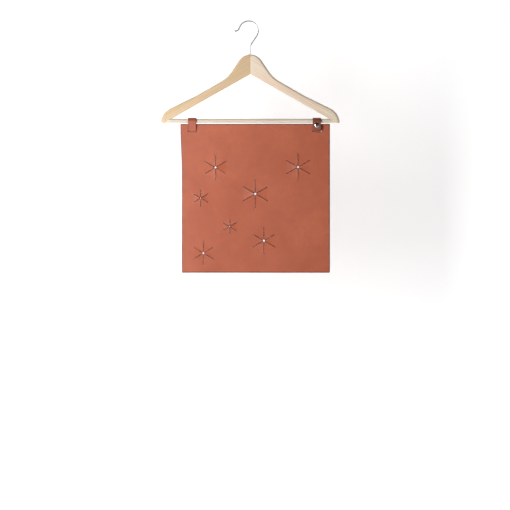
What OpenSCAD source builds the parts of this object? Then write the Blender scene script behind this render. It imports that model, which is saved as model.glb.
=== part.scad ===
// Scarf hanger: a wooden coat hanger with a swivel hook and a crossbar, and a square leather panel
// that hangs from the crossbar on two snap straps. Star-shaped cuts in the panel hold the scarves.
// X runs to the right, Y runs away from the viewer and Z runs up. The origin is the rail seat: the
// underside of the hook's wire at its top, on the swivel axis.

/* [Hook] */
// Diameter of the hook's wire
wire_d = 3.5; // [3:0.1:4]
// Radius of the hook's eye, to the middle of the wire
eye_r = 23.6; // [22:0.1:26]
// How far the eye's centre lies to the left of the swivel axis
eye_offset = 4.4; // [3:0.1:6]
// Lean of the leg between eye and shank, from upright
leg_lean = 33.4; // [28:0.1:38]
// Radius of the bend above the shank
bend_r = 9; // [6:0.5:12]
// Turn of the eye, from the leg round to the mouth
eye_turn = 193; // [180:1:198]
// Radius of the outward curl at the tip
curl_r = 10; // [8:0.5:12]
// Turn of the outward curl
curl_turn = 70; // [50:1:80]
// Diameter of the ball on the tip
tip_ball_d = 5; // [4:0.1:6]

/* [Arms] */
// Drop from the rail seat to the top of the crown
crown_drop = 79.6; // [76:0.1:90]
// Height of the boards at the middle joint
crown_h = 48.1; // [44:0.1:52]
// Thickness of the boards
board_t = 13; // [12:0.1:16]
// Radius that the boards' edges are rounded to
edge_r = 4; // [2:0.1:4.2]
// Angle that each arm sweeps forward
sweep = 12; // [8:0.5:14]
// Radius of the crown
crown_r = 33; // [30:0.5:36]
// Steepest slope of the upper edge, beside the crown
flank_slope = 55.5; // [52:0.5:58]
// Length of the straight flank
flank_len = 33.5; // [30:0.5:36]
// Radius of the valley between flank and arm
valley_r = 82; // [75:1:90]
// Slope of the upper edge where the arm begins
arm_slope = 31.5; // [30.5:0.1:32]
// Radius of the long hollow in the arm's upper edge
arm_hollow_r = 1100; // [1050:10:1150]
// Slope of the upper edge where the tip begins
shoulder_slope = 24; // [23.5:0.1:24.5]
// Radius of the rounded tip
tip_r = 42; // [40:0.5:44]
// Slope of the upper edge at the very end of the tip
tip_slope = 76; // [72:0.5:80]
// Slope of the straight lower edge
under_slope = 29.1; // [28.8:0.1:29.4]

/* [Crossbar] */
// Diameter of the bar
bar_d = 10; // [9:0.1:10.4]
// Length of the bar
bar_len = 424; // [420:0.5:424]
// Drop from the rail seat to the bar's axis
bar_drop = 242.9; // [242:0.1:243]
// How far the bar's axis lies in front of the swivel axis
bar_forward = 44.2; // [43.5:0.1:44.6]

/* [Panel] */
// Width of the leather panel
panel_w = 364.5; // [340:0.5:366]
// Height of the leather panel
panel_h = 364; // [350:0.5:380]
// Thickness of the leather panel
panel_t = 2.8; // [2.2:0.1:3]
// How far the panel's middle hangs to the right of the swivel axis
panel_shift = 12.2; // [0:0.1:12.5]
// Drop from the bar's axis to the panel's top edge
panel_drop = 7.5; // [7.2:0.1:8]
// Width of the star slits
kerf = 0.8; // [0.6:0.1:1.2]
// Diameter of the relief hole at the end of each slit
relief_d = 1.6; // [1.4:0.1:2]

/* [Straps] */
// Width of the straps
strap_w = 20; // [16:0.5:21]
// Thickness of the strap leather
strap_t = 2.2; // [1.8:0.1:2.2]
// Inner radius of the loop over the bar
loop_r = 7.8; // [7.6:0.1:8.2]
// Place of the left strap, from the panel's left edge
left_strap_in = 27.7; // [20:0.1:40]
// Place of the right strap, from the panel's right edge
right_strap_in = 32; // [20:0.1:40]
// Drop from the bar's axis to the middle of the strap slots
slot_drop = 25.7; // [25:0.1:27]
// Diameter of the snap caps
cap_d = 12.5; // [11:0.1:14]

/* [Hidden] */

// Colours
chrome = [0.80, 0.81, 0.83];
beech = [0.89, 0.78, 0.65];
ramin = [0.90, 0.84, 0.75];
cognac = [0.70, 0.40, 0.29];
cognac_edge = [0.62, 0.34, 0.24];

// Swivel: the shank turns in a bore through the crown, on a washer and nut in a counterbore below
swivel_gap = 0.08;
under_apex = -(crown_drop + crown_h);
counterbore_d = 8.8;
counterbore_h = 11.7;
washer_d = 8;
washer_t = 0.8;
nut_af = 6;
nut_t = 2.8;
shank_past_nut = 1.2;
seat_z = under_apex + counterbore_h;
shank_end = seat_z - washer_t - nut_t - shank_past_nut;
shank_lap = 1;
mouth_len = 3;
wire_step = 7;
wire_sides = 14;
wire_in = 0.02;

// Arms
edge_steps = 4;
corner_r = edge_r + 0.2;
socket_gap = 0.05;
socket_past_bar = 0.5;

// Crossbar
bar_r = bar_d / 2;
bar_y = -bar_forward;
bar_z = -bar_drop;
bar_chamfer = 0.8;

// Panel
panel_top = bar_z - panel_drop;
panel_left = panel_shift - panel_w / 2;
panel_corner_r = 2;
// Each star: from the panel's left edge, down from its top edge, length of a slit, centre hole
STARS = [[182, 171, 36.5, 5], [83.5, 106.5, 32, 4.2], [46, 181.5, 22, 2], [118.5, 251, 20.5, 2],
         [203, 285.5, 32.5, 5], [286.5, 105.5, 34, 5], [53, 316, 29.5, 4.2]];

// Straps, in a side profile: depth from the panel's middle towards the snap cap, and height from the
// bar's axis. A strap comes up from the slot, wraps the bar and ends in the flap with the cap.
bar_to_loop = 0.3;
loop_mid_r = loop_r + strap_t / 2;
loop_z = bar_r + bar_to_loop - loop_r;
bend_in_r = 2.4;
bend_mid_r = bend_in_r + strap_t / 2;
slot_h = 3.2;
slot_w = strap_w + 4;
slot_top = -slot_drop + slot_h / 2;
bend_z = slot_top + sqrt(bend_in_r * bend_in_r - panel_t * panel_t / 4) - 0.04;
run_lean = asin((loop_mid_r - bend_mid_r) / (loop_z - bend_z));
run_len = (loop_z - bend_z) * cos(run_lean);
strap_end = -5.3;
flap_end = -23.4;
shoulder = 45;
flap_gap = 2;
strap_corner_r = 3;
left_strap_x = panel_left + left_strap_in;
right_strap_x = panel_left + panel_w - right_strap_in;

// Snap fastener, as depths from the panel's middle
snap_z = -10.8;
eyelet_back = 1.8;
eyelet_flange_r = 3.8;
eyelet_r = 1.5;
eyelet_bore_r = 1.1;
eyelet_top = 6.5;
eyelet_rim_r = 1.85;
stud_base = bend_in_r + strap_t;
stud_flange_r = 4.2;
stud_flange_t = 0.5;
stud_neck_r = 2;
stud_bulb_r = 2.3;
stud_bulb_at = 6;
socket_front = 5.4;
socket_back = loop_r;
socket_r = 4.8;
socket_bowl_r = 2.5;
socket_web = 0.6;
ring_at = 5.72;
ring_mid_r = 2.6;
ring_wire_r = 0.25;
groove_r = 2.9;
lip_r = 2.7;
ring_open = 40;
cap_base = loop_r + strap_t;
cap_h = 2.9;
cap_rim = 0.5;
post_rim_r = 1.9;
post_rim_t = 0.25;

// A place on a path is [x, z, heading]. A move is [length, 0] for a straight or [radius, turn] for
// an arc, and each move starts in the heading that the last one ended in.
function side(turn) = turn > 0 ? 1 : -1;
function centre(p, m) =
    let (s = side(m[1])) [p[0] - s * m[0] * sin(p[2]), p[1] + s * m[0] * cos(p[2])];
function on_arc(p, m, turned) =
    let (s = side(m[1]), c = centre(p, m), h = p[2] + turned)
    [c[0] + s * m[0] * sin(h), c[1] - s * m[0] * cos(h), h];
function go(p, m) =
    m[1] == 0 ? [p[0] + m[0] * cos(p[2]), p[1] + m[0] * sin(p[2]), p[2]] : on_arc(p, m, m[1]);
function steps(m, fine) = m[1] == 0 ? 1 : max(1, ceil(abs(m[1]) / fine));
function trace(p, moves, fine, i = 0) =
    i == len(moves) ? [p]
    : let (m = moves[i], n = steps(m, fine))
      concat([for (k = [0 : n - 1]) k == 0 ? p : on_arc(p, m, m[1] * k / n)],
             trace(go(p, m), moves, fine, i + 1));
function shift(p, d) = [p[0] - d * sin(p[2]), p[1] + d * cos(p[2])];

// Upper edge of an arm, from the middle joint out to the end of the tip
upper_start = [0, -crown_drop, 0];
upper_moves = [[crown_r, -flank_slope], [flank_len, 0],
               [valley_r, flank_slope - arm_slope], [arm_hollow_r, arm_slope - shoulder_slope],
               [tip_r, shoulder_slope - tip_slope]];
function last(p, moves, i = 0) = i == len(moves) ? p : last(go(p, moves[i]), moves, i + 1);
tip_end = last(upper_start, upper_moves);
// Height of a point above the straight lower edge, square to that edge
function above_under(x, z) = (z - under_apex + x * tan(under_slope)) * cos(under_slope);
tip_in = shift(tip_end, -corner_r);
tip_fall = sin(tip_slope) * cos(under_slope) - cos(tip_slope) * sin(under_slope);
tip_straight = (above_under(tip_in[0], tip_in[1]) - corner_r) / tip_fall;
corner_turn = tip_slope - 180 - under_slope;
corner_start = go(tip_end, [tip_straight, 0]);
corner_end = go(corner_start, [corner_r, corner_turn]);
under_len = corner_end[0] / cos(under_slope);
arm_outline = trace(upper_start, concat(upper_moves,
    [[tip_straight, 0], [corner_r, corner_turn], [under_len, 0]]), 6.5);

// Outline of an arm at a depth in the board's thickness: drawn in by inset, and mitred at both ends
// so that the two arms meet on the plane X = 0 once they are swept forward
function board_ring(depth, inset) =
    let (x = -depth * tan(sweep))
    concat([[x, -crown_drop - inset]],
           [for (i = [1 : len(arm_outline) - 2]) shift(arm_outline[i], -inset)],
           [[x, under_apex + inset / cos(under_slope) - x * tan(under_slope)]]);

// A board with rounded edges, as rings of its outline from the front face to the back face
module arm_board() {
    half = board_t / 2;
    turns = [for (k = [0 : edge_steps]) 90 * k / edge_steps];
    rings = concat(
        [for (a = turns) [-half + edge_r * (1 - cos(a)), edge_r * (1 - sin(a))]],
        [for (a = turns) [half - edge_r * (1 - sin(a)), edge_r * (1 - cos(a))]]);
    count = len(arm_outline);
    points = [for (ring = rings) for (q = board_ring(ring[0], ring[1])) [q[0], ring[0], q[1]]];
    walls = [for (k = [0 : len(rings) - 2]) for (i = [0 : count - 1])
        let (j = (i + 1) % count, a = k * count, b = a + count)
        each [[a + i, b + i, b + j], [a + i, b + j, a + j]]];
    front = [for (i = [0 : count - 1]) i];
    back = [for (i = [0 : count - 1]) len(points) - 1 - i];
    polyhedron(points, concat([front], walls, [back]), convexity = 4);
}

module arm() {
    difference() {
        rotate([0, 0, -sweep]) arm_board();
        translate([0, 0, under_apex - 10])
            cylinder(r = wire_d / 2 + swivel_gap, h = crown_h + 20, $fn = 48);
        translate([0, 0, under_apex - 10])
            cylinder(d = counterbore_d, h = counterbore_h + 10, $fn = 48);
        translate([bar_len / 2 - 60, bar_y, bar_z]) rotate([0, 90, 0])
            cylinder(r = bar_r + socket_gap, h = 60 + socket_past_bar, $fn = 64);
    }
}

module left_arm() { color(beech) mirror([1, 0, 0]) arm(); }
module right_arm() { color(beech) arm(); }

// Round wire swept along a path in the XZ plane
module swept_wire(path, r, sides) {
    points = [for (p = path) for (i = [0 : sides - 1])
        let (q = shift(p, r * cos(360 * i / sides))) [q[0], r * sin(360 * i / sides), q[1]]];
    walls = [for (k = [0 : len(path) - 2]) for (i = [0 : sides - 1])
        let (j = (i + 1) % sides, a = k * sides, b = a + sides)
        each [[a + i, a + j, b + j], [a + i, b + j, b + i]]];
    foot = [for (i = [sides - 1 : -1 : 0]) i];
    head = [for (i = [0 : sides - 1]) len(points) - sides + i];
    polyhedron(points, concat([foot], walls, [head]), convexity = 4);
}

module hook() {
    seat_r = eye_r - wire_d / 2;
    eye_z = -sqrt(seat_r * seat_r - eye_offset * eye_offset);
    leg_top = [-eye_offset + eye_r * cos(leg_lean), eye_z - eye_r * sin(leg_lean)];
    leg_foot_x = bend_r * (1 - cos(leg_lean));
    leg_len = (leg_top[0] - leg_foot_x) / sin(leg_lean);
    bend_start = leg_top[1] - leg_len * cos(leg_lean) - bend_r * sin(leg_lean);
    start = [0, bend_start - shank_lap, 90];
    moves = [[shank_lap, 0], [bend_r, -leg_lean], [leg_len, 0], [eye_r, eye_turn],
             [mouth_len, 0], [curl_r, -curl_turn]];
    tip = last(start, moves);
    color(chrome) union() {
        translate([0, 0, shank_end]) cylinder(d = wire_d, h = bend_start - shank_end, $fn = 48);
        swept_wire(trace(start, moves, wire_step), wire_d / 2 - wire_in, wire_sides);
        translate([tip[0], 0, tip[1]]) sphere(d = tip_ball_d, $fn = 32);
    }
}

module hook_washer() {
    color(chrome) translate([0, 0, seat_z - washer_t]) difference() {
        cylinder(d = washer_d, h = washer_t, $fn = 48);
        translate([0, 0, -1]) cylinder(d = wire_d, h = washer_t + 2, $fn = 48);
    }
}

module hook_nut() {
    color(chrome) translate([0, 0, seat_z - washer_t - nut_t]) difference() {
        cylinder(r = nut_af / sqrt(3), h = nut_t, $fn = 6);
        translate([0, 0, -1]) cylinder(d = wire_d, h = nut_t + 2, $fn = 48);
    }
}

module crossbar() {
    half = bar_len / 2;
    color(ramin) translate([0, bar_y, bar_z]) rotate([0, 90, 0]) rotate_extrude($fn = 64)
        polygon([[0, -half], [bar_r - bar_chamfer, -half], [bar_r, -half + bar_chamfer],
                 [bar_r, half - bar_chamfer], [bar_r - bar_chamfer, half], [0, half]]);
}

// A star of six slits that meet in a round hole and end in relief holes
module star(ray, hole_d) {
    circle(d = hole_d, $fn = 32);
    for (i = [0 : 2]) rotate(60 * i) {
        square([kerf, 2 * ray], center = true);
        for (s = [-1, 1]) translate([0, s * ray]) circle(d = relief_d, $fn = 16);
    }
}

module strap_slot() {
    square([slot_w - slot_h, slot_h], center = true);
    for (s = [-1, 1]) translate([s * (slot_w - slot_h) / 2, 0]) circle(d = slot_h, $fn = 24);
}

module rounded_rect(w, h, r) {
    union() {
        square([w - 2 * r, h], center = true);
        square([w, h - 2 * r], center = true);
        for (x = [-1, 1], y = [-1, 1]) translate([x * (w / 2 - r), y * (h / 2 - r)])
            circle(r = r, $fn = 24);
    }
}

module panel() {
    color(cognac) translate([0, bar_y, 0]) rotate([90, 0, 0])
        linear_extrude(panel_t, center = true) difference() {
            translate([panel_shift, panel_top - panel_h / 2])
                rounded_rect(panel_w, panel_h, panel_corner_r);
            for (s = STARS) translate([panel_left + s[0], panel_top - s[1]]) star(s[2], s[3]);
            for (x = [left_strap_x, right_strap_x]) translate([x, bar_z - slot_drop]) strap_slot();
        }
}

// Places a side profile at a strap: facing is -1 where the cap is in front, and 1 behind
module at_strap(x, facing) {
    translate([x, bar_y, bar_z]) rotate([90, 0, 90 * facing])
        linear_extrude(strap_w, center = true) children();
}

module at_snap(x, facing) {
    translate([x, bar_y, bar_z + snap_z]) rotate([-90 * facing, 0, 0]) children();
}

// Leather of even thickness along a path
module band(p, moves) {
    path = trace(p, moves, 10);
    outer = [for (q = path) shift(q, strap_t / 2)];
    inner = [for (i = [len(path) - 1 : -1 : 0]) shift(path[i], -strap_t / 2)];
    polygon(concat(outer, inner));
}

// Trims a strap's free end to rounded corners, below or above the height given
module strap_blank(x, low, high) {
    translate([x, bar_y, bar_z + (low + high) / 2]) rotate([90, 0, 0])
        linear_extrude(40, center = true) rounded_rect(strap_w, high - low, strap_corner_r);
}

module strap(x, facing) {
    low = -50;
    start = [bend_mid_r, strap_end, -90];
    color(cognac_edge) difference() {
        union() {
            intersection() {
                at_strap(x, facing) band(start, [[strap_end - bend_z, 0]]);
                strap_blank(x, low, strap_end);
            }
            at_strap(x, facing) band([bend_mid_r, bend_z, -90],
                [[bend_mid_r, run_lean - 180], [run_len, 0],
                 [loop_mid_r, shoulder - 180 - run_lean]]);
        }
        at_snap(x, facing) cylinder(r = eyelet_r, h = stud_base + 1, $fn = 32);
    }
}

module flap(x, facing) {
    high = 40;
    h = shoulder - 90 - flap_gap;
    start = [loop_mid_r * cos(shoulder - flap_gap), loop_z + loop_mid_r * sin(shoulder - flap_gap), h];
    color(cognac) difference() {
        intersection() {
            at_strap(x, facing) band(start, [[loop_mid_r, -90 - h], [loop_z - flap_end, 0]]);
            strap_blank(x, flap_end, high);
        }
        at_snap(x, facing) translate([0, 0, socket_back - 1])
            cylinder(r = eyelet_r, h = strap_t + 2, $fn = 32);
    }
}

// Domed cap, with the post that is spread inside the socket
module snap_cap(x, facing) {
    r = cap_d / 2;
    rise = cap_h - cap_rim;
    dome = [for (a = [0 : 10 : 90]) [r * cos(a), cap_base + cap_rim + rise * sin(a)]];
    web = socket_back - socket_web;
    color(chrome) at_snap(x, facing) rotate_extrude($fn = 48)
        polygon(concat([[0, web - post_rim_t], [post_rim_r, web - post_rim_t], [post_rim_r, web],
                        [eyelet_r, web], [eyelet_r, cap_base], [r - 0.3, cap_base]], dome));
}

// Cup with a groove for the spring ring behind its lip
module snap_socket(x, facing) {
    web = socket_back - socket_web;
    groove_top = ring_at + ring_wire_r;
    groove_foot = ring_at - ring_wire_r;
    color(chrome) at_snap(x, facing) rotate_extrude($fn = 48)
        polygon([[lip_r, socket_front], [socket_r - 1, socket_front],
                 [socket_r - 0.3, socket_front + 0.3], [socket_r, socket_front + 1],
                 [socket_r, socket_back], [eyelet_r, socket_back], [eyelet_r, web],
                 [socket_bowl_r, web], [socket_bowl_r, groove_top], [groove_r, groove_top],
                 [groove_r, groove_foot], [lip_r, groove_foot]]);
}

// Split spring ring that grips the stud
module snap_ring(x, facing) {
    color(chrome) at_snap(x, facing) translate([0, 0, ring_at]) rotate([0, 0, ring_open / 2])
        rotate_extrude(angle = 360 - ring_open, $fn = 48)
            translate([ring_mid_r, 0]) circle(r = ring_wire_r, $fn = 16);
}

module snap_stud(x, facing) {
    flange_top = stud_base + stud_flange_t;
    color(chrome) at_snap(x, facing) rotate_extrude($fn = 48)
        polygon([[eyelet_r, stud_base], [stud_flange_r, stud_base], [stud_flange_r, flange_top],
                 [stud_neck_r, flange_top], [stud_neck_r, stud_bulb_at - 0.4],
                 [stud_bulb_r, stud_bulb_at], [stud_bulb_r - 0.1, stud_bulb_at + 0.3],
                 [stud_bulb_r - 0.4, eyelet_top], [eyelet_r, eyelet_top]]);
}

// Tube with a flange behind the leather, its end rolled over the stud
module snap_eyelet(x, facing) {
    color(chrome) at_snap(x, facing) rotate_extrude($fn = 48)
        polygon([[eyelet_bore_r, eyelet_back], [eyelet_flange_r, eyelet_back],
                 [eyelet_flange_r, bend_in_r], [eyelet_r, bend_in_r], [eyelet_r, eyelet_top],
                 [eyelet_rim_r, eyelet_top], [eyelet_rim_r - 0.1, eyelet_top + 0.2],
                 [eyelet_bore_r, eyelet_top + 0.2]]);
}

module left_strap() { strap(left_strap_x, 1); }
module left_flap() { flap(left_strap_x, 1); }
module left_snap_cap() { snap_cap(left_strap_x, 1); }
module left_snap_socket() { snap_socket(left_strap_x, 1); }
module left_snap_ring() { snap_ring(left_strap_x, 1); }
module left_snap_stud() { snap_stud(left_strap_x, 1); }
module left_snap_eyelet() { snap_eyelet(left_strap_x, 1); }
module right_strap() { strap(right_strap_x, -1); }
module right_flap() { flap(right_strap_x, -1); }
module right_snap_cap() { snap_cap(right_strap_x, -1); }
module right_snap_socket() { snap_socket(right_strap_x, -1); }
module right_snap_ring() { snap_ring(right_strap_x, -1); }
module right_snap_stud() { snap_stud(right_strap_x, -1); }
module right_snap_eyelet() { snap_eyelet(right_strap_x, -1); }

hook();
hook_washer();
hook_nut();
left_arm();
right_arm();
crossbar();
panel();
left_strap();
left_flap();
left_snap_cap();
left_snap_socket();
left_snap_ring();
left_snap_stud();
left_snap_eyelet();
right_strap();
right_flap();
right_snap_cap();
right_snap_socket();
right_snap_ring();
right_snap_stud();
right_snap_eyelet();
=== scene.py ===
"""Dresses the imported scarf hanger: wood, chrome and leather, in a plain pale studio.

Everything is in metres in the row frame: X runs to the right, Y away from the viewer and Z up. The origin
is the rail seat, under the top of the hook. Helper functions that draw outlines work in millimetres.
"""
import math

import bmesh
import bpy
import numpy as np
from mathutils import Matrix, Vector
from mathutils.geometry import delaunay_2d_cdt


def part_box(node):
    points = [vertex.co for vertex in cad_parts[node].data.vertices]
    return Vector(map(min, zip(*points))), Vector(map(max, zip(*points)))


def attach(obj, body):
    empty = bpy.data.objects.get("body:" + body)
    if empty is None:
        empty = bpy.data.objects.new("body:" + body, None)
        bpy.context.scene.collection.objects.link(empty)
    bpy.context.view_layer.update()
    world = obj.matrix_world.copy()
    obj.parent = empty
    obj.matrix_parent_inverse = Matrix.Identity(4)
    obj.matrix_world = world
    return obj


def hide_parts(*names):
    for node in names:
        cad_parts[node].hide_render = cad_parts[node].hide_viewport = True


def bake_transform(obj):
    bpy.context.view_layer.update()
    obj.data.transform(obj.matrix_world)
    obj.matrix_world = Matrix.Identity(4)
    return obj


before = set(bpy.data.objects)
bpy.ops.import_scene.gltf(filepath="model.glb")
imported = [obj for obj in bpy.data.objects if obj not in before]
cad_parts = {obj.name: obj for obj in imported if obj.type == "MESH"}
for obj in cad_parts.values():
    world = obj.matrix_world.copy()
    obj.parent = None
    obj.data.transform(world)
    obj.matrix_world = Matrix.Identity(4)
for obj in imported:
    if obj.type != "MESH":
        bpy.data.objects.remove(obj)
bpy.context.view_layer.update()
MM = 0.001

# Camera and stage, in metres where the name gives no other unit
IMAGE_PX = 510
MM_PER_PX = 2.447
FIELD = IMAGE_PX * MM_PER_PX * MM
VIEW_CENTRE = Vector((0.0113, -0.03, -0.571))
CAMERA_AWAY = 20.0
SENSOR_MM = 36.0
CAMERA_SEES = 60.0
WALL_Y = 0.37
WALL_TOP = 3.0
FLOOR_Z = -1.35
STAGE_HALF = 5.0
WALL_GLOW = 0.6
FLOOR_GLOW = 0.18
ROOM_LIGHT = 0.32

# Lights, in metres and watts
LIGHT_AIM = (0.0, -0.03, -0.38)
KEY_PLACE = (-0.57, -0.97, -0.34)
KEY_SIZE = (0.22, 0.95)
KEY_POWER = 10.9
FILL_PLACE = (0.6, -2.3, -1.0)
FILL_SIZE = (1.6, 1.2)
FILL_POWER = 4

# Edges that bend by more degrees than this are drawn sharp, on leather and on wood or metal
SHEET_CREASE = 50
SOLID_CREASE = 32
# Points of a solid's mesh closer together than this, in metres, are welded before it is shaded
WELD = 2e-6

# Arms, in millimetres and degrees
SWEEP = 12
GRAIN_SLOPE = 29
CROWN_H = 48.1
BOARD_T = 13
BOARD_EDGE_R = 4
EDGE_STEPS = 8
ARC_STEP = 4
# Upper edge of a board from the crown outwards, as straights (length, 0) and arcs (radius, turn)
UPPER_EDGE = [(33, -55.5), (33.5, 0), (82, 24), (1100, 7.5), (42, -52)]
TIP_SLOPE = 76
UNDER_SLOPE = 29.1
CORNER_R = 4.2
BORE_R = 1.83
COUNTERBORE_R = 4.4
COUNTERBORE_H = 11.7
SOCKET_GAP = 0.05
SOCKET_DEPTH = 60
SOCKET_PAST_BAR = 0.5
CUTTER_SIDES = 72
CUTTER_PAST = 10

# Panel, in millimetres
PANEL_CORNER = 2
SLIT_HALF = 0.015
RELIEF_R = 0.45
SLOT_TOP = -24.1
SLOT_H = 2.75
SLOT_CORNER = 0.6
# How far each slot reaches past the left and the right edge of its strap
SLOT_SIDE = {"left": (-0.7, 0.9), "right": (0.1, 1.4)}
# How the leather's edges are rounded: depth below the face, and draw-in
EDGE_PROFILE = [(0.0, 0.45), (0.12, 0.18), (0.4, 0.0)]
# Each star: from the panel's left edge, down from its top edge, length of a slit, radius of its hole
STARS = [(182, 171, 36.5, 2.5), (83.5, 106.5, 32, 2.1), (46, 181.5, 22, 1.0), (118.5, 251, 20.5, 1.0),
         (203, 285.5, 32.5, 2.5), (286.5, 105.5, 34, 2.5), (53, 316, 29.5, 2.1)]
LONGEST_SLIT = max(star[2] for star in STARS)
SLITS = 6
LEAF_ANGLE = 360 / SLITS

# The panel's mesh, in millimetres: a coarse net of points with a fine one round the stars
COARSE = 4.0
FINE = 1.3
FINE_PAST_STAR = 3
ROW_STEP = 0.866
SLIT_STEP = 2.2
SLOT_STEP = 2.5
SLOT_RING_STEP = 1.5
SMALLEST_R = 0.05
CORNER_STEPS = 3
HOLE_STEPS = 4
RELIEF_STEPS = 8
# Points of the net that lie nearer to an edge than this are left out, and so many are tested at once
RIM_CLEAR = 0.75
BATCH = 2000

# Dark along the panel's edges, partly rubbed leather and partly painted shade: its width at a cut and at
# the outer edge, and its share at a cut
CUT_RUB_SHADE_WIDTH = 1.5
EDGE_RUB_SHADE_WIDTH = 2.6
CUT_RUB_SHADE = 0.55

# How the leaves of leather in the stars lift and curl, in millimetres, and how sharply they bend
PETAL_LIFT = 3.6
PETAL_BEND = 1.6
RIM_CURL = 0.5
CURL_WIDTH = 2.0
# The panel's slow waves and the lean of its left edge, and over which shares of its height and width
# they come in
WAVE = 0.9
WAVE_FROM = 0.12
WAVE_OVER = 0.5
FLARE_TOP = -1.0
FLARE_FOOT = 2.6
FLARE_DOWN = 0.35
FLARE_ACROSS = 0.45

# Straps, in millimetres, as a side profile: depth towards the snap cap, and height from the bar's axis
STRAP_T = 2.2
LOOP_MID_R = 8.9
LOOP_Z = -2.5
BEND_IN_R = 2.4
BEND_MID_R = BEND_IN_R + STRAP_T / 2
STRAP_END = -5.3
FLAP_END = -23.4
STRAP_CORNER = 3
# Play between the strap's lower bend and the slot's upper edge
SLOT_PLAY = 0.04
# A strip's section: its rim, in from the side and down from the face, and the lines along its face, as
# shares of half its width
STRIP_RIM = [(0.45, 0.0), (0.16, 0.12), (0.0, 0.42)]
STRIP_LINES = (-0.9, -0.45, 0, 0.45, 0.9)
# Width of the dark rub along its sides and at its ends
SIDE_RUB = 0.6
END_RUB = 0.45
# The flap's hinge: its angle round the loop, and half of the stretch that bends
HINGE_ANGLE = 45
HINGE_HALF = 25
# Degrees between the points of a strip's arcs, and those of the stretch that bends
STRIP_STEP = 5
BEND_STEP = 4


def lerp(a, b, t):
    """The value that lies a share t of the way from a to b."""
    return a + (b - a) * t


def smooth(t):
    """A soft step from 0 to 1, held at both ends."""
    t = min(1.0, max(0.0, t))
    return t * t * (3 - 2 * t)


# Shader helpers


def material(name):
    """A new material with its node tree and its main shader."""
    mat = bpy.data.materials.new(name)
    mat.use_nodes = True
    return mat, mat.node_tree, mat.node_tree.nodes["Principled BSDF"]


def add(tree, kind, values=None, **props):
    """A node of that kind, with its properties set and its inputs given as values or sockets."""
    node = tree.nodes.new(kind)
    for key, value in props.items():
        setattr(node, key, value)
    for key, value in (values or {}).items():
        if isinstance(value, bpy.types.NodeSocket):
            tree.links.new(value, node.inputs[key])
        else:
            node.inputs[key].default_value = value
    return node


def rgb(r, g, b):
    """A linear colour from 8-bit sRGB."""
    def linear(v):
        v /= 255
        return v / 12.92 if v <= 0.04045 else ((v + 0.055) / 1.055) ** 2.4
    return linear(r), linear(g), linear(b), 1.0


def coords(tree):
    """The object's own coordinates, in metres."""
    return add(tree, "ShaderNodeTexCoord").outputs["Object"]


def scaled(tree, vector, scale):
    """The vector with each axis scaled, which stretches a pattern along the axes scaled least."""
    return add(tree, "ShaderNodeMapping", {"Vector": vector, "Scale": scale}).outputs["Vector"]


def noise(tree, vector, scale, detail=3.0, roughness=0.5, distortion=0.0):
    """Soft noise between 0 and 1."""
    node = add(tree, "ShaderNodeTexNoise", {"Vector": vector, "Scale": scale, "Detail": detail,
                                            "Roughness": roughness, "Distortion": distortion})
    return node.outputs["Fac"]


def remap(tree, value, low, high, to_low=0.0, to_high=1.0):
    """The value moved from one range to another, and held within it."""
    node = add(tree, "ShaderNodeMapRange", {"Value": value, "From Min": low, "From Max": high,
                                            "To Min": to_low, "To Max": to_high})
    return node.outputs["Result"]


def mix(tree, factor, a, b):
    """Colour a with a share of colour b. The node's inputs 6 and 7 and its output 2 are for colours."""
    node = add(tree, "ShaderNodeMix", data_type="RGBA")
    for index, value in ((0, factor), (6, a), (7, b)):
        if isinstance(value, bpy.types.NodeSocket):
            tree.links.new(value, node.inputs[index])
        else:
            node.inputs[index].default_value = value
    return node.outputs[2]


def math_node(tree, operation, a, b=0.0):
    """The result of one operation on two values or sockets."""
    return add(tree, "ShaderNodeMath", {0: a, 1: b}, operation=operation).outputs[0]


def bump(tree, height, distance, strength, normal=None):
    """A surface normal tilted by a height, on top of another normal if there is one."""
    values = {"Height": height, "Distance": distance, "Strength": strength}
    if normal is not None:
        values["Normal"] = normal
    return add(tree, "ShaderNodeBump", values).outputs["Normal"]


# Materials


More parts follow.
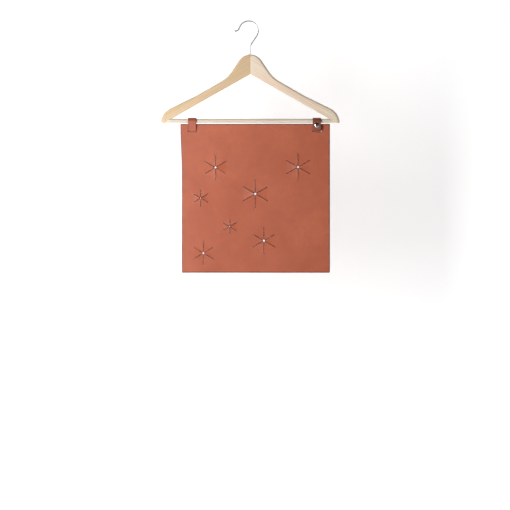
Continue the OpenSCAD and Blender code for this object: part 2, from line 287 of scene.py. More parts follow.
def wood(name, sweep, slope, light, streak, dark, blush):
    """Pale varnished wood whose grain runs along a board swept and sloped by those angles."""
    mat, tree, shader = material(name)
    turned = add(tree, "ShaderNodeMapping", {"Vector": coords(tree),
                                             "Rotation": (0, 0, math.radians(sweep))})
    along = add(tree, "ShaderNodeMapping", {"Vector": turned.outputs["Vector"],
                                            "Rotation": (0, math.radians(slope), 0)})
    p = along.outputs["Vector"]
    broad = noise(tree, scaled(tree, p, (4, 30, 42)), 1.0, 2.0, 0.5, 0.6)
    bands = add(tree, "ShaderNodeTexWave", {
        "Vector": scaled(tree, p, (2.4, 14, 62)), "Scale": 1.0, "Distortion": 6.0, "Detail": 3.0,
        "Detail Scale": 1.4, "Detail Roughness": 0.55}, wave_type="BANDS", bands_direction="Z")
    fibre = noise(tree, scaled(tree, p, (16, 420, 520)), 1.0, 4.0, 0.6)
    flecks = noise(tree, scaled(tree, p, (170, 1500, 1500)), 1.0, 1.0, 0.5)
    warmth = noise(tree, scaled(tree, p, (8, 20, 26)), 1.0, 2.0, 0.5)
    colour = mix(tree, remap(tree, broad, 0.3, 0.75, 0.0, 0.75), light, streak)
    colour = mix(tree, remap(tree, warmth, 0.46, 0.64, 0.0, 0.6), colour, blush)
    colour = mix(tree, remap(tree, bands.outputs["Fac"], 0.35, 1.0, 0.0, 0.2), colour, dark)
    colour = mix(tree, remap(tree, fibre, 0.4, 0.75, 0.0, 0.35), colour, dark)
    colour = mix(tree, remap(tree, flecks, 0.66, 0.8, 0.0, 0.55), colour, dark)
    tree.links.new(colour, shader.inputs["Base Color"])
    tree.links.new(remap(tree, fibre, 0.3, 0.8, 0.36, 0.5), shader.inputs["Roughness"])
    shader.inputs["Coat Weight"].default_value = 0.25
    shader.inputs["Coat Roughness"].default_value = 0.3
    grooves = math_node(tree, "MULTIPLY", flecks, -0.5)
    relief = math_node(tree, "ADD", fibre, grooves)
    tree.links.new(bump(tree, relief, 0.00012, 0.5), shader.inputs["Normal"])
    return mat


def leather(name, base, deep, rub_and_shade):
    """Smooth finished leather: fine uneven pores, faint veins, cloudy colour, and rims drawn dark, which is
    rub and, round the panel's cuts and edges, also painted shade.
    """
    mat, tree, shader = material(name)
    p = coords(tree)
    sway = add(tree, "ShaderNodeTexNoise", {"Vector": p, "Scale": 500.0, "Detail": 2.0}).outputs["Color"]
    warped = add(tree, "ShaderNodeVectorMath", {0: sway, 1: (0.0012, 0.0012, 0.0012), 2: p},
                 operation="MULTIPLY_ADD").outputs[0]
    pores = add(tree, "ShaderNodeTexVoronoi", {"Vector": warped, "Scale": 1250.0}, feature="F1")
    pits = noise(tree, p, 2100.0, 3.0, 0.65)
    folds = noise(tree, scaled(tree, p, (70, 70, 34)), 1.0, 3.0, 0.55, 1.4)
    vein = math_node(tree, "ABSOLUTE", math_node(tree, "SUBTRACT", folds, 0.5))
    moved = add(tree, "ShaderNodeMapping", {"Vector": p, "Location": (0.05, 0.0, -0.08)}).outputs["Vector"]
    clouds = noise(tree, moved, 11.0, 4.0, 0.55, 0.5)
    patches = noise(tree, p, 55.0, 4.0, 0.62, 0.3)
    colour = mix(tree, remap(tree, clouds, 0.3, 0.7, 0.0, 0.78), base, deep)
    colour = mix(tree, remap(tree, patches, 0.42, 0.72, 0.0, 0.4), colour, deep)
    colour = mix(tree, remap(tree, pores.outputs["Distance"], 0.1, 0.55, 0.0, 0.16), colour, deep)
    colour = mix(tree, remap(tree, vein, 0.0, 0.014, 0.08, 0.0), colour, rub_and_shade)
    # Dark at the rims: rubbed edges, and round the panel's cuts and outer edge also painted shade
    rim = add(tree, "ShaderNodeAttribute", attribute_name="rim", attribute_type="GEOMETRY").outputs["Fac"]
    rub_shade_mask = math_node(tree, "MULTIPLY", remap(tree, rim, 0.05, 0.65, 0.0, 0.95),
                       remap(tree, patches, 0.36, 0.62, 0.45, 1.0))
    colour = mix(tree, rub_shade_mask, colour, rub_and_shade)
    tree.links.new(colour, shader.inputs["Base Color"])
    tree.links.new(remap(tree, patches, 0.3, 0.75, 0.4, 0.54), shader.inputs["Roughness"])
    swell = remap(tree, pores.outputs["Distance"], 0.0, 0.6, 1.0, 0.0)
    relief = math_node(tree, "ADD", swell, math_node(tree, "MULTIPLY", pits, 0.7))
    fine = bump(tree, relief, 0.00011, 0.5)
    soft = bump(tree, remap(tree, vein, 0.0, 0.03), 0.00008, 0.2, fine)
    tree.links.new(soft, shader.inputs["Normal"])
    return mat


def leather_edge(name, colour, dark):
    """Cut leather, dyed dark and rubbed smooth, with its fibres faintly showing along the cut. In the
    panel's slits its dark tone is also painted shade.
    """
    mat, tree, shader = material(name)
    layers = noise(tree, scaled(tree, coords(tree), (350, 1800, 350)), 1.0, 3.0, 0.6)
    tree.links.new(mix(tree, remap(tree, layers, 0.35, 0.7), colour, dark), shader.inputs["Base Color"])
    tree.links.new(bump(tree, layers, 0.00015, 0.5), shader.inputs["Normal"])
    shader.inputs["Roughness"].default_value = 0.55
    shader.inputs["Specular IOR Level"].default_value = 0.25
    return mat


def flesh_side(name, colour, dark):
    """The rough back of leather, with short matted fibres."""
    mat, tree, shader = material(name)
    p = coords(tree)
    nap = noise(tree, p, 900.0, 5.0, 0.7, 1.2)
    clouds = noise(tree, p, 40.0, 3.0, 0.6)
    shade = math_node(tree, "ADD", remap(tree, nap, 0.3, 0.7, 0.0, 0.7),
                      remap(tree, clouds, 0.3, 0.7, 0.0, 0.4))
    tree.links.new(mix(tree, shade, colour, dark), shader.inputs["Base Color"])
    tree.links.new(bump(tree, nap, 0.0004, 0.6), shader.inputs["Normal"])
    shader.inputs["Roughness"].default_value = 0.85
    shader.inputs["Sheen Weight"].default_value = 0.25
    shader.inputs["Sheen Roughness"].default_value = 0.5
    return mat


def plated(name, colour, roughness):
    """Polished plating with faint hairline wear."""
    mat, tree, shader = material(name)
    p = coords(tree)
    wear = noise(tree, scaled(tree, p, (600, 600, 140)), 1.0, 4.0, 0.6)
    dull = tuple(0.82 * c for c in colour[:3]) + (1.0,)
    tint = mix(tree, remap(tree, wear, 0.4, 0.75, 0.0, 0.3), colour, dull)
    tree.links.new(tint, shader.inputs["Base Color"])
    tree.links.new(remap(tree, wear, 0.3, 0.8, roughness, roughness + 0.1), shader.inputs["Roughness"])
    tree.links.new(bump(tree, noise(tree, p, 260.0, 2.0), 0.00006, 0.25), shader.inputs["Normal"])
    shader.inputs["Metallic"].default_value = 1.0
    return mat


def stage_white(name, glow):
    """A pale sheet that is seen from its front only."""
    mat, tree, shader = material(name)
    shader.inputs["Base Color"].default_value = (0.86, 0.86, 0.86, 1)
    shader.inputs["Roughness"].default_value = 0.9
    shader.inputs["Emission Color"].default_value = (1, 1, 1, 1)
    shader.inputs["Emission Strength"].default_value = glow
    clear = add(tree, "ShaderNodeBsdfTransparent")
    back = add(tree, "ShaderNodeNewGeometry").outputs["Backfacing"]
    pick = add(tree, "ShaderNodeMixShader", {0: back, 1: shader.outputs[0], 2: clear.outputs[0]})
    tree.links.new(pick.outputs[0], tree.nodes["Material Output"].inputs["Surface"])
    return mat


# Mesh helpers

# Order of the materials on a piece of leather
FACE, EDGE, BACK = range(3)


def mesh_object(name, points, faces, materials, picks=None, rim=None):
    """A smooth-shaded object from points in metres, with a material index for each face.

    rim says how near each point is to a cut edge, from 0, away from it, to 1, on it.
    """
    mesh = bpy.data.meshes.new(name)
    mesh.from_pydata([tuple(p) for p in points], [], faces)
    for mat in materials:
        mesh.materials.append(mat)
    if picks is not None:
        mesh.polygons.foreach_set("material_index", picks)
    if rim is not None:
        mesh.attributes.new("rim", "FLOAT", "POINT").data.foreach_set("value", rim)
    mesh.shade_smooth()
    mesh.set_sharp_from_angle(angle=math.radians(SHEET_CREASE))
    mesh.update()
    obj = bpy.data.objects.new(name, mesh)
    bpy.context.scene.collection.objects.link(obj)
    return obj


def smoothing_group():
    """Nodes that weld a mesh and shade it smooth, but for its sharp edges."""
    group = bpy.data.node_groups.new("smooth_by_angle", "GeometryNodeTree")
    group.interface.new_socket("Geometry", in_out="INPUT", socket_type="NodeSocketGeometry")
    group.interface.new_socket("Geometry", in_out="OUTPUT", socket_type="NodeSocketGeometry")
    start = group.nodes.new("NodeGroupInput")
    end = group.nodes.new("NodeGroupOutput")
    weld = add(group, "GeometryNodeMergeByDistance", {"Geometry": start.outputs[0], "Distance": WELD})
    faces = add(group, "GeometryNodeSetShadeSmooth", {"Geometry": weld.outputs[0], "Shade Smooth": True})
    angle = add(group, "GeometryNodeInputMeshEdgeAngle").outputs["Unsigned Angle"]
    sharp = add(group, "FunctionNodeCompare", {"A": angle, "B": math.radians(SOLID_CREASE)},
                operation="GREATER_THAN")
    edges = add(group, "GeometryNodeSetShadeSmooth", {
        "Geometry": faces.outputs[0], "Selection": sharp.outputs["Result"], "Shade Smooth": False},
        domain="EDGE")
    group.links.new(edges.outputs[0], end.inputs[0])
    return group


def dress(node, mat, group):
    """Gives a CAD node its material and smooth shading, and leaves its shape as it is."""
    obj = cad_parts[node]
    obj.data.materials.clear()
    obj.data.materials.append(mat)
    obj.modifiers.new("smooth", "NODES").node_group = group


# Outlines, in millimetres


def arc(cx, cy, r, start, end, steps):
    """Points on an arc, both ends included, with angles in degrees."""
    angles = [math.radians(lerp(start, end, i / steps)) for i in range(steps + 1)]
    return [(cx + r * math.cos(a), cy + r * math.sin(a)) for a in angles]


def line(a, b, spacing):
    """Points from a to just before b, about that far apart."""
    steps = max(1, round(math.dist(a, b) / spacing))
    return [(lerp(a[0], b[0], i / steps), lerp(a[1], b[1], i / steps)) for i in range(steps)]


def rect_outline(x0, x1, z0, z1, r, inset, spacing):
    """A rectangle with round corners, anticlockwise, drawn in by inset."""
    r = max(r - inset, SMALLEST_R)
    x0, x1 = x0 + inset + r, x1 - inset - r
    z0, z1 = z0 + inset + r, z1 - inset - r
    corners = [(x1, z0, -90), (x1, z1, 0), (x0, z1, 90), (x0, z0, 180)]
    arcs = [arc(cx, cz, r, a, a + 90, CORNER_STEPS) for cx, cz, a in corners]
    points = []
    for k, a in enumerate(arcs):
        points += a[:-1] + line(a[-1], arcs[(k + 1) % 4][0], spacing)
    return points


def star_outline(cx, cz, ray, hole_r, grow):
    """A star of six slits round a hole, anticlockwise, with every cut widened by grow."""
    half = SLIT_HALF + grow
    r = hole_r + grow
    tip = RELIEF_R + grow
    foot = math.sqrt(r * r - half * half)
    neck = ray - math.sqrt(tip * tip - half * half)
    lean = math.degrees(math.asin(half / r))
    tuck = math.degrees(math.asin(half / tip))
    steps = round(ray / SLIT_STEP)
    points = []
    for k in range(SLITS):
        a = math.radians(90 + LEAF_ANGLE * k)
        along, across = (math.cos(a), math.sin(a)), (-math.sin(a), math.cos(a))

        def at(s, t):
            return cx + s * along[0] + t * across[0], cz + s * along[1] + t * across[1]

        points += [at(lerp(foot, neck, i / steps), -half) for i in range(steps)]
        turn = math.degrees(a)
        points += arc(*at(ray, 0), tip, turn - 180 + tuck, turn + 180 - tuck, RELIEF_STEPS)
        points += [at(lerp(neck, foot, i / steps), half) for i in range(1, steps)]
        points += arc(cx, cz, r, turn + lean, turn + LEAF_ANGLE - lean, HOLE_STEPS)[:-1]
    return points


def trace(start, moves, step):
    """Points (across, height, heading) along straights (length, 0) and arcs (radius, turn).

    The points of an arc lie that many degrees apart at most.
    """
    x, z, h = start
    points = [(x, z, h)]
    for size, turn in moves:
        if turn == 0:
            x, z = x + size * math.cos(math.radians(h)), z + size * math.sin(math.radians(h))
            points.append((x, z, h))
            continue
        side = 1 if turn > 0 else -1
        cx, cz = x - side * size * math.sin(math.radians(h)), z + side * size * math.cos(math.radians(h))
        steps = max(1, math.ceil(abs(turn) / step))
        for i in range(1, steps + 1):
            a = h + turn * i / steps
            points.append((cx + side * size * math.sin(math.radians(a)),
                           cz - side * size * math.cos(math.radians(a)), a))
        x, z, h = points[-1]
    return points


def inside(points, outline):
    """Which of the points lie inside a closed outline."""
    x, y = points[:, 0], points[:, 1]
    poly = np.array(outline)
    result = np.zeros(len(points), bool)
    x1, y1 = poly[-1]
    for x2, y2 in poly:
        crosses = (y1 > y) != (y2 > y)
        if y1 != y2:
            result ^= crosses & (x < (x2 - x1) * (y - y1) / (y2 - y1) + x1)
        x1, y1 = x2, y2
    return result


# Arms


def board_outline(top):
    """Outline of a board in its own plane, from the crown round the tip and back along the lower edge."""
    under = top - CROWN_H
    slope = math.radians(UNDER_SLOPE)
    x, z, heading = trace((0, top, 0), UPPER_EDGE, ARC_STEP)[-1]
    inner_x = x + CORNER_R * math.sin(math.radians(heading))
    inner_z = z - CORNER_R * math.cos(math.radians(heading))
    above = (inner_z - under + inner_x * math.tan(slope)) * math.cos(slope)
    straight = (above - CORNER_R) / math.sin(math.radians(TIP_SLOPE - UNDER_SLOPE))
    corner = [(straight, 0), (CORNER_R, TIP_SLOPE - 180 - UNDER_SLOPE)]
    return trace((0, top, 0), UPPER_EDGE + corner, ARC_STEP) + [(0, under, 180 - UNDER_SLOPE)]


def board_ring(outline, depth, inset):
    """The outline drawn in by inset, and mitred so that both boards meet on the plane X = 0."""
    x = -depth * math.tan(math.radians(SWEEP))
    slope = math.radians(UNDER_SLOPE)
    ring = [(x, outline[0][1] - inset)]
    for px, pz, heading in outline[1:-1]:
        turn = math.radians(heading)
        ring.append((px + inset * math.sin(turn), pz - inset * math.cos(turn)))
    ring.append((x, outline[-1][1] + inset / math.cos(slope) - x * math.tan(slope)))
    return ring


def cutter(radius, start, end):
    """A cylinder between two points in millimetres, for cutting a bore."""
    a, b = Vector(start) * MM, Vector(end) * MM
    bm = bmesh.new()
    bmesh.ops.create_cone(bm, cap_ends=True, segments=CUTTER_SIDES, radius1=radius * MM,
                          radius2=radius * MM, depth=(b - a).length)
    turn = (b - a).to_track_quat("Z", "Y").to_matrix().to_4x4()
    half_side = Matrix.Rotation(math.pi / CUTTER_SIDES, 4, "Z")
    bm.transform(Matrix.Translation((a + b) / 2) @ turn @ half_side)
    mesh = bpy.data.meshes.new("cutter")
    bm.to_mesh(mesh)
    bm.free()
    obj = bpy.data.objects.new("cutter", mesh)
    bpy.context.scene.collection.objects.link(obj)
    return obj


def cut_away(obj, cutters):
    """Cuts the bores out of the object's mesh for good, and deletes the cutters."""
    for tool in cutters:
        cut = obj.modifiers.new("cut", "BOOLEAN")
        cut.operation = "DIFFERENCE"
        cut.solver = "EXACT"
        cut.object = tool
    bpy.context.view_layer.update()
    obj.data = bpy.data.meshes.new_from_object(obj.evaluated_get(bpy.context.evaluated_depsgraph_get()))
    obj.modifiers.clear()
    for tool in cutters:
        bpy.data.objects.remove(tool)


def make_arm(side, facing, mat):
    """One contoured board. Facing is 1 for the right arm, and -1 for its mirror image on the left."""
    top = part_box(side + "_arm")[1].z / MM
    bar_lo, bar_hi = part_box("crossbar")
    bar = (bar_lo + bar_hi) / 2 / MM
    bar_r = (bar_hi.z - bar_lo.z) / 2 / MM
    bar_half = (bar_hi.x - bar_lo.x) / 2 / MM
    outline = board_outline(top)
    half = BOARD_T / 2
    turns = [math.radians(90 * k / EDGE_STEPS) for k in range(EDGE_STEPS + 1)]
    layers = [(-half + BOARD_EDGE_R * (1 - math.cos(a)), BOARD_EDGE_R * (1 - math.sin(a))) for a in turns]
    layers += [(-depth, inset) for depth, inset in reversed(layers)]
    sweep = math.radians(SWEEP)
    count = len(outline)
    points = []
    for depth, inset in layers:
        for px, pz in board_ring(outline, depth, inset):
            points.append((facing * (px * math.cos(sweep) + depth * math.sin(sweep)) * MM,
                           (depth * math.cos(sweep) - px * math.sin(sweep)) * MM, pz * MM))
    faces = [tuple(range(count)), tuple(range(len(points) - count, len(points)))]
    for a in range(0, len(points) - count, count):
        for i in range(count):
            j = (i + 1) % count
            faces.append((a + i, a + j, a + count + j, a + count + i))
    arm = mesh_object(side + "_arm_board", points, faces, [mat])
    bm = bmesh.new()
    bm.from_mesh(arm.data)
    bmesh.ops.recalc_face_normals(bm, faces=bm.faces)
    bm.to_mesh(arm.data)
    bm.free()
    under = outline[-1][1]
    cut_away(arm, [
        cutter(BORE_R, (0, 0, under - CUTTER_PAST), (0, 0, top + CUTTER_PAST)),
        cutter(COUNTERBORE_R, (0, 0, under - CUTTER_PAST), (0, 0, under + COUNTERBORE_H)),
        cutter(bar_r + SOCKET_GAP, (facing * (bar_half - SOCKET_DEPTH), bar.y, bar.z),
               (facing * (bar_half + SOCKET_PAST_BAR), bar.y, bar.z))])
    arm.data.shade_smooth()
    arm.data.set_sharp_from_angle(angle=math.radians(SOLID_CREASE))
    arm.modifiers.new("weighted", "WEIGHTED_NORMAL").keep_sharp = True
    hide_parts(side + "_arm")
    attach(arm, "hanger")


# Panel


def petal(x, z, stars):
    """How far a point of the panel lifts towards the front, on a leaf of leather in a star.

    The sines of the leaf's and the star's numbers give every leaf a height and a curl of its own.
    """
    for k, (cx, cz, ray, _) in enumerate(stars):
        dx, dz = x - cx, z - cz
        r = math.hypot(dx, dz)
        if r < ray:
            turn = (math.degrees(math.atan2(dz, dx)) - 90) % 360
            leaf = int(turn // LEAF_ANGLE)
            half = LEAF_ANGLE / 2
            off = turn - LEAF_ANGLE * leaf - half
            free = 1 - r * math.cos(math.radians(off)) / (ray * math.cos(math.radians(half)))
            height = 0.3 + 0.7 * math.sin(2.7 * k + 2.1 * leaf + 0.8 * k * leaf)
            lift = PETAL_LIFT * ray / LONGEST_SLIT * height * max(0.0, free) ** PETAL_BEND
            to_slit = r * math.sin(math.radians(half - abs(off)))
            rise = 0.6 + 0.4 * math.sin(1.9 * leaf + 3.1 * k + (2.0 if off > 0 else 0.0))
            near_slit = math.exp(-(to_slit / CURL_WIDTH) ** 2)
            return lift + RIM_CURL * rise * near_slit * math.sin(math.pi * r / ray) ** 0.5
    return 0.0


def panel_shape(x, z, depth, box, stars):
    """Where a point of the flat panel lies once the leather hangs: a little uneven, with leaves lifted."""
    x0, x1, z0, z1 = box
    down = (z1 - z) / (z1 - z0)
    right = (x - x0) / (x1 - x0)
    hang = smooth((down - WAVE_FROM) / WAVE_OVER)
    wave = WAVE * hang * (math.sin(2.2 * math.pi * right + 1.1) + 0.55 * math.sin(4.1 * right + 5.2 * down))
    flare = lerp(FLARE_TOP, FLARE_FOOT, smooth(down / FLARE_DOWN)) * smooth(1 - right / FLARE_ACROSS)
    return x + flare, depth - wave - petal(x, z, stars), z


def panel_outlines(box, stars, slots, grow):
    """The panel's outer edge, its stars and its slots, with every cut widened by grow."""
    loops = [rect_outline(*box, PANEL_CORNER, grow, COARSE)]
    loops += [star_outline(*star, grow) for star in stars]
    loops += [rect_outline(*slot, SLOT_CORNER, -grow, SLOT_STEP) for slot in slots]
    return loops


def panel_grid(box, stars, slots, loops, inset):
    """Points over the panel's face, closer round the stars, and how far each lies from an edge."""
    x0, x1, z0, z1 = box
    grid = []
    for spacing, near in ((COARSE, False), (FINE, True)):
        xs = np.arange(x0 + spacing, x1 - spacing / 2, spacing)
        zs = np.arange(z0 + spacing, z1 - spacing / 2, spacing * ROW_STEP)
        for row, z in enumerate(zs):
            for x in xs + (spacing / 2 if row % 2 else 0):
                close = any(math.hypot(x - s[0], z - s[1]) < s[2] + FINE_PAST_STAR for s in stars)
                if close == near and x < x1 - spacing / 2:
                    grid.append((x, z))
    grid += rect_outline(*box, PANEL_CORNER, inset + EDGE_RUB_SHADE_WIDTH, COARSE)
    for slot in slots:
        grid += rect_outline(*slot, SLOT_CORNER, -(inset + CUT_RUB_SHADE_WIDTH), SLOT_RING_STEP)
    grid = np.array(grid)
    for loop in loops[1:]:
        grid = grid[~inside(grid, loop)]
    rim = np.array([p for loop in loops for p in loop])
    gap = np.empty(len(grid))
    for i in range(0, len(grid), BATCH):
        part = grid[i:i + BATCH]
        gap[i:i + BATCH] = np.sqrt(((part[:, None] - rim[None]) ** 2).sum(2)).min(1)
    clear = gap > RIM_CLEAR
    return grid[clear], gap[clear]


def triangulate(flat, loops):
    """Triangles between the points, facing the front, with none inside a star or a slot."""
    edges = []
    start = 0
    for loop in loops:
        count = len(loop)
        edges += [(start + i, start + (i + 1) % count) for i in range(count)]
        start += count
    # Output type 0 fills the cuts too, so the triangles inside them are dropped afterwards
    joined = delaunay_2d_cdt([Vector(p) for p in flat], edges, [], 0, 1e-6)
    back_to = [origin[0] if origin else -1 for origin in joined[3]]
    triangles = [[back_to[i] for i in t] for t in joined[2]]
    centres = np.array([[sum(flat[i][c] for i in t) / 3 for c in (0, 1)] for t in triangles])
    keep = np.ones(len(triangles), bool)
    for loop in loops[1:]:
        keep &= ~inside(centres, loop)
    result = []
    for (a, b, c), kept in zip(triangles, keep):
        (ax, az), (bx, bz), (cx, cz) = flat[a], flat[b], flat[c]
        if kept and len({a, b, c}) == 3:
            turned = (bx - ax) * (cz - az) - (bz - az) * (cx - ax) < 0
            result.append((a, c, b) if turned else (a, b, c))
    return result


def slot_rects():
    """The slots as (x0, x1, z0, z1), where each strap goes through the panel below the bar."""
    bar_lo, bar_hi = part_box("crossbar")
    top = (bar_lo.z + bar_hi.z) / 2 / MM + SLOT_TOP
    slots = []
    for side, (before, after) in SLOT_SIDE.items():
        a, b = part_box(side + "_strap")
        slots.append((a.x / MM - before, b.x / MM + after, top - SLOT_H, top))
    return slots


def edge_faces(rings, loops):
    """The faces between rings of points that run round every outline, from the front to the back.

    They face out of the leather: outwards round the first outline, and into the others, which are cuts.
    """
    faces = []
    start = 0
    for k, loop in enumerate(loops):
        count = len(loop)
        for near, far in zip(rings, rings[1:]):
            for i in range(count):
                a, b = start + i, start + (i + 1) % count
                quad = (near[a], far[a], far[b], near[b])
                faces.append(quad if k == 0 else quad[::-1])
        start += count
    return faces


def make_panel(mats):
    """The hanging sheet: a front, a back, and a rounded edge between them round every outline."""
    lo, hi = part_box("panel")
    box = x0, x1, z0, z1 = lo.x / MM, hi.x / MM, lo.z / MM, hi.z / MM
    thick = (hi.y - lo.y) / MM
    stars = [(x0 + s[0], z1 - s[1], s[2], s[3]) for s in STARS]
    slots = slot_rects()
    layers = EDGE_PROFILE + [(thick - depth, inset) for depth, inset in reversed(EDGE_PROFILE)]
    inset = layers[0][1]
    loops = panel_outlines(box, stars, slots, inset)
    grid, gap = panel_grid(box, stars, slots, loops, inset)

    flat = [p for loop in loops for p in loop]
    rim_count = len(flat)
    flat += [tuple(p) for p in grid]
    outer = len(loops[0])
    # How dark each point is drawn by its nearness to an edge: rub, and painted shade at the cuts and the
    # outer edge
    rub_shade = [1.0] * outer + [CUT_RUB_SHADE] * (rim_count - outer)
    for (x, z), to_cut in zip(grid, gap):
        to_edge = min(x - x0, x1 - x, z - z0, z1 - z) - inset
        rub_shade.append(max(0.0, CUT_RUB_SHADE * (1 - to_cut / CUT_RUB_SHADE_WIDTH), 1 - to_edge / EDGE_RUB_SHADE_WIDTH))

    def place(x, z, depth):
        px, py, pz = panel_shape(x, z, depth, box, stars)
        return px * MM, lo.y + py * MM, pz * MM

    points = [place(x, z, 0.0) for x, z in flat]
    points += [place(x, z, thick) for x, z in flat]
    back = len(flat)
    faces, picks = [], []
    for a, b, c in triangulate(flat, loops):
        faces += [(a, b, c), (back + a, back + c, back + b)]
        picks += [FACE, BACK]
    rings = [list(range(rim_count))]
    for depth, grow in layers[1:-1]:
        ring = [p for loop in panel_outlines(box, stars, slots, grow) for p in loop]
        rings.append(list(range(len(points), len(points) + rim_count)))
        points += [place(x, z, depth) for x, z in ring]
    rings.append(list(range(back, back + rim_count)))
    faces += edge_faces(rings, loops)
    picks += [EDGE] * (len(faces) - len(picks))
    rub_shade = 2 * rub_shade + [1.0] * (len(points) - 2 * len(flat))

    panel = mesh_object("panel_leather", points, faces, mats, picks, rim=rub_shade)
    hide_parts("panel")
    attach(panel, "panel_unit")


# Straps


def resample(path, from_start, from_end):
    """The path's own points and those at the given distances from its start and from its end.

    Each point also gets its distance along the path. The path's length is returned with them.
    """
    lengths = [0.0]
    for a, b in zip(path, path[1:]):
        lengths.append(lengths[-1] + math.dist(a[:2], b[:2]))
    total = lengths[-1]
    extra = from_start + [total - away for away in from_end]
    spots = sorted(set(lengths) | {s for s in extra if 0 <= s <= total})
    result = []
    for s in spots:
        k = max(i for i, v in enumerate(lengths) if v <= s + 1e-9)
        k = min(k, len(path) - 2)
        t = (s - lengths[k]) / (lengths[k + 1] - lengths[k])
        result.append(tuple(lerp(path[k][c], path[k + 1][c], t) for c in range(3)) + (s,))
    return result, total


def strip_section(half_w):
    """Points (across, out) round a strip's cross-section: the outer face, then the inner face."""
    half_t = STRAP_T / 2
    rim = [(e, half_t - down) for e, down in STRIP_RIM]
    face = [(half_w * share, half_t) for share in STRIP_LINES]
    section = [(-(half_w - e), t) for e, t in reversed(rim)] + face + [(half_w - e, t) for e, t in rim]
    section += [(half_w - e, -t) for e, t in reversed(rim)] + [(w, -t) for w, t in reversed(face)]
    return section + [(-(half_w - e), -t) for e, t in rim]


def strip(name, centre, facing, path, width, mats, round_start=False, round_end=False):
    """A leather strip along a side profile, with rubbed edges and, if asked, round corners at an end.

    The profile is drawn from centre, with its depth towards the back where facing is 1.
    """
    x, y, z = centre
    r = STRAP_CORNER
    cuts = [r * (1 - math.cos(math.radians(a))) for a in range(0, 91, 15)]
    path, total = resample(path, cuts if round_start else [], cuts if round_end else [])
    points, rings, rim = [], [], []
    for d, h, heading, s in path:
        trim = 0.0
        for use, away in ((round_start, s), (round_end, total - s)):
            if use and away < r:
                trim = max(trim, r - math.sqrt(max(0.0, r * r - (r - away) ** 2)))
        half_w = width / 2 - trim
        section = strip_section(half_w)
        nx, nz = -math.sin(math.radians(heading)), math.cos(math.radians(heading))
        at_end = round_start and s < END_RUB or round_end and total - s < END_RUB
        rings.append(range(len(points), len(points) + len(section)))
        for across, out in section:
            points.append(((x + across) * MM, (y + facing * (d + out * nx)) * MM, (z + h + out * nz) * MM))
            rim.append(1.0 if at_end or half_w - abs(across) < SIDE_RUB else 0.0)
    count = len(rings[0])
    face_start = len(STRIP_RIM) - 1
    face_end = face_start + len(STRIP_LINES) + 1
    faces, picks = [], []
    for a, b in zip(rings, rings[1:]):
        for i in range(count):
            j = (i + 1) % count
            quad = (a[i], b[i], b[j], a[j])
            faces.append(quad[::-1] if facing > 0 else quad)
            if face_start <= i % (count // 2) < face_end:
                picks.append(FACE if i < count // 2 else BACK)
            else:
                picks.append(EDGE)
    first, last = tuple(rings[0]), tuple(rings[-1])
    faces += [first[::-1], last] if facing > 0 else [first, last[::-1]]
    picks += [EDGE, EDGE]
    return mesh_object(name, points, faces, mats, picks, rim=rim)


def make_strap(side, facing, mats):
    """One strap in three pieces: the fixed loop, the flap, and the bend between them."""
    lo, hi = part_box(side + "_strap")
    bar_lo, bar_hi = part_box("crossbar")
    panel_lo, panel_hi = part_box("panel")
    width = (hi.x - lo.x) / MM
    x = (lo.x + hi.x) / 2 / MM
    y = (bar_lo.y + bar_hi.y) / 2 / MM
    z = (bar_lo.z + bar_hi.z) / 2 / MM
    half_panel = (panel_hi.y - panel_lo.y) / 2 / MM
    bend_z = SLOT_TOP + math.sqrt(BEND_IN_R ** 2 - half_panel ** 2) - SLOT_PLAY
    lean = math.degrees(math.asin((LOOP_MID_R - BEND_MID_R) / (LOOP_Z - bend_z)))
    run = (LOOP_Z - bend_z) * math.cos(math.radians(lean))
    high = HINGE_ANGLE + HINGE_HALF
    low = HINGE_ANGLE - HINGE_HALF

    up_and_over = [(STRAP_END - bend_z, 0), (BEND_MID_R, lean - 180), (run, 0),
                   (LOOP_MID_R, high - 180 - lean)]
    strap_path = trace((BEND_MID_R, STRAP_END, -90), up_and_over, STRIP_STEP)
    bend_path = trace(strap_path[-1], [(LOOP_MID_R, low - high)], BEND_STEP)
    flap_path = trace(bend_path[-1], [(LOOP_MID_R, -low), (LOOP_Z - FLAP_END, 0)], STRIP_STEP)

    centre = (x, y, z)
    strap = strip(side + "_strap_leather", centre, facing, strap_path, width, mats, round_start=True)
    bend = strip(side + "_strap_bend", centre, facing, bend_path, width, mats)
    flap = strip(side + "_flap_leather", centre, facing, flap_path, width, mats, round_end=True)
    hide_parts(side + "_strap")
    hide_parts(side + "_flap")
    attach(strap, "panel_unit")
    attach(flap, side + "_tab")

    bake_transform(bend)


# Stage, light and camera


def stage_sheet(name, corners, mat):
    """One flat sheet of the stage, which is no part of the object."""
    obj = mesh_object(name, corners, [(0, 1, 2, 3)], [mat])


def make_stage():
    """A pale wall close behind the hanger, and a floor well below it."""
    wall = stage_white("backdrop_white", WALL_GLOW)
    floor = stage_white("floor_white", FLOOR_GLOW)
    half = STAGE_HALF
    stage_sheet("backdrop", [(-half, WALL_Y, FLOOR_Z), (half, WALL_Y, FLOOR_Z),
                             (half, WALL_Y, WALL_TOP), (-half, WALL_Y, WALL_TOP)], wall)
    stage_sheet("floor", [(-half, -half, FLOOR_Z), (half, -half, FLOOR_Z),
                          (half, WALL_Y, FLOOR_Z), (-half, WALL_Y, FLOOR_Z)], floor)


def area_light(name, place, size, power, in_gloss):
    """A white soft box of that width and height, aimed at the object, that gloss may mirror or not."""
    light = bpy.data.lights.new(name, "AREA")
    light.shape = "RECTANGLE"
    light.size, light.size_y = size
    light.energy = power
    obj = bpy.data.objects.new(name, light)
    obj.location = place
    obj.rotation_euler = (Vector(LIGHT_AIM) - Vector(place)).to_track_quat("-Z", "Y").to_euler()
    obj.visible_glossy = in_gloss
    bpy.context.scene.collection.objects.link(obj)


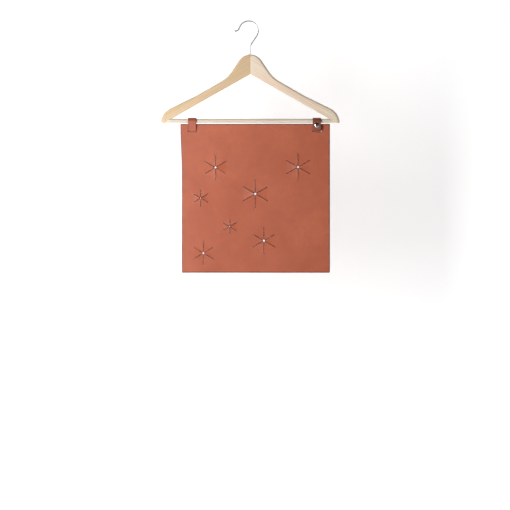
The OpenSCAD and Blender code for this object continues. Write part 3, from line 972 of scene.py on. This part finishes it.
def make_world():
    """Room light, mostly from the sides, the back and below: the ceiling and the room in front are dark."""
    world = bpy.data.worlds.new("studio")
    bpy.context.scene.world = world
    world.use_nodes = True
    tree = world.node_tree
    around = add(tree, "ShaderNodeTexCoord").outputs["Generated"]
    side = add(tree, "ShaderNodeSeparateXYZ", {"Vector": around})
    front = remap(tree, side.outputs["Y"], -0.85, -0.2, 0.25, 1.0)
    ceiling = remap(tree, side.outputs["Z"], 0.1, 0.65, 1.0, 0.06)
    right = remap(tree, side.outputs["X"], 0.3, 0.9, 1.0, 0.85)
    level = math_node(tree, "MULTIPLY", math_node(tree, "MULTIPLY", front, ceiling), right)
    background = tree.nodes["Background"]
    tree.links.new(math_node(tree, "MULTIPLY", level, ROOM_LIGHT), background.inputs["Strength"])
    background.inputs["Color"].default_value = (1, 1, 1, 1)


def make_camera():
    """A level view from the front, from so far away that nothing looks nearer than the rest."""
    data = bpy.data.cameras.new("photo_camera")
    data.sensor_fit = "HORIZONTAL"
    data.sensor_width = SENSOR_MM
    data.lens = SENSOR_MM * CAMERA_AWAY / FIELD
    data.clip_end = CAMERA_SEES
    cam = bpy.data.objects.new("photo_camera", data)
    cam.location = VIEW_CENTRE + Vector((0, -CAMERA_AWAY, 0))
    cam.rotation_euler = (math.radians(90), 0, 0)
    bpy.context.scene.collection.objects.link(cam)
    bpy.context.scene.camera = cam


make_camera()
make_stage()
make_world()
area_light("key", KEY_PLACE, KEY_SIZE, KEY_POWER, in_gloss=True)
area_light("fill", FILL_PLACE, FILL_SIZE, FILL_POWER, in_gloss=False)
bpy.context.scene.view_settings.view_transform = "Standard"

# Colours and materials
# Both boards are one beech in two copies of its colours: the left's more saturated as painted shade, the
# right's paler and greyer as a painted sheen
LEFT_BEECH_SHADE_TONE = (rgb(247, 222, 184), rgb(236, 203, 155), rgb(192, 150, 104), rgb(246, 208, 172))
RIGHT_BEECH_SHEEN_TONE = (rgb(232, 214, 190), rgb(222, 196, 164), rgb(184, 146, 110), rgb(236, 204, 176))
DOWEL = (rgb(236, 226, 210), rgb(226, 213, 190), rgb(196, 178, 148), rgb(232, 220, 200))
# Dark for rubbed rims, which on the panel also stands in as painted shade at its cuts and edges
RUB_AND_SHADE_TONE = rgb(92, 34, 20)
bar_wood = wood("bar_wood", 0, 0, *DOWEL)
hook_chrome = plated("hook_chrome", rgb(222, 224, 228), 0.27)
snap_nickel = plated("snap_nickel", rgb(214, 214, 216), 0.07)
# The dark cut edge is dyed leather, and in the stars' slits it is also painted shade
cut_edge = leather_edge("cut_leather_edge", rgb(104, 42, 24), rgb(66, 24, 14))
rough_back = flesh_side("leather_flesh_side", rgb(186, 128, 96), rgb(140, 84, 58))
panel_face = leather("panel_leather", rgb(195, 104, 72), rgb(173, 85, 56), RUB_AND_SHADE_TONE)
# The straps are the panel's leather lit and shaded: the left strap is painted lighter and pinker where it
# catches the light, the right one painted darker for the shade on its upper front
left_strap_painted_light = leather("left_strap_leather", rgb(196, 110, 82), rgb(160, 78, 54), RUB_AND_SHADE_TONE)
right_strap_painted_shade = leather("right_strap_leather", rgb(166, 92, 70), rgb(128, 64, 46), RUB_AND_SHADE_TONE)

# Metal parts and the bar keep the shapes of their solids
smooth_group = smoothing_group()
for node in ("hook", "hook_washer", "hook_nut"):
    dress(node, hook_chrome, smooth_group)
dress("crossbar", bar_wood, smooth_group)
for side in ("left", "right"):
    for part in ("cap", "socket", "ring", "stud", "eyelet"):
        dress(side + "_snap_" + part, snap_nickel, smooth_group)

# Boards and leather are drawn again, at the size and place of their solids
make_arm("left", -1, wood("left_arm_wood", -SWEEP, GRAIN_SLOPE, *LEFT_BEECH_SHADE_TONE))
make_arm("right", 1, wood("right_arm_wood", SWEEP, -GRAIN_SLOPE, *RIGHT_BEECH_SHEEN_TONE))
make_panel([panel_face, cut_edge, rough_back])
make_strap("left", 1, [left_strap_painted_light, cut_edge, rough_back])
make_strap("right", -1, [right_strap_painted_shade, cut_edge, rough_back])
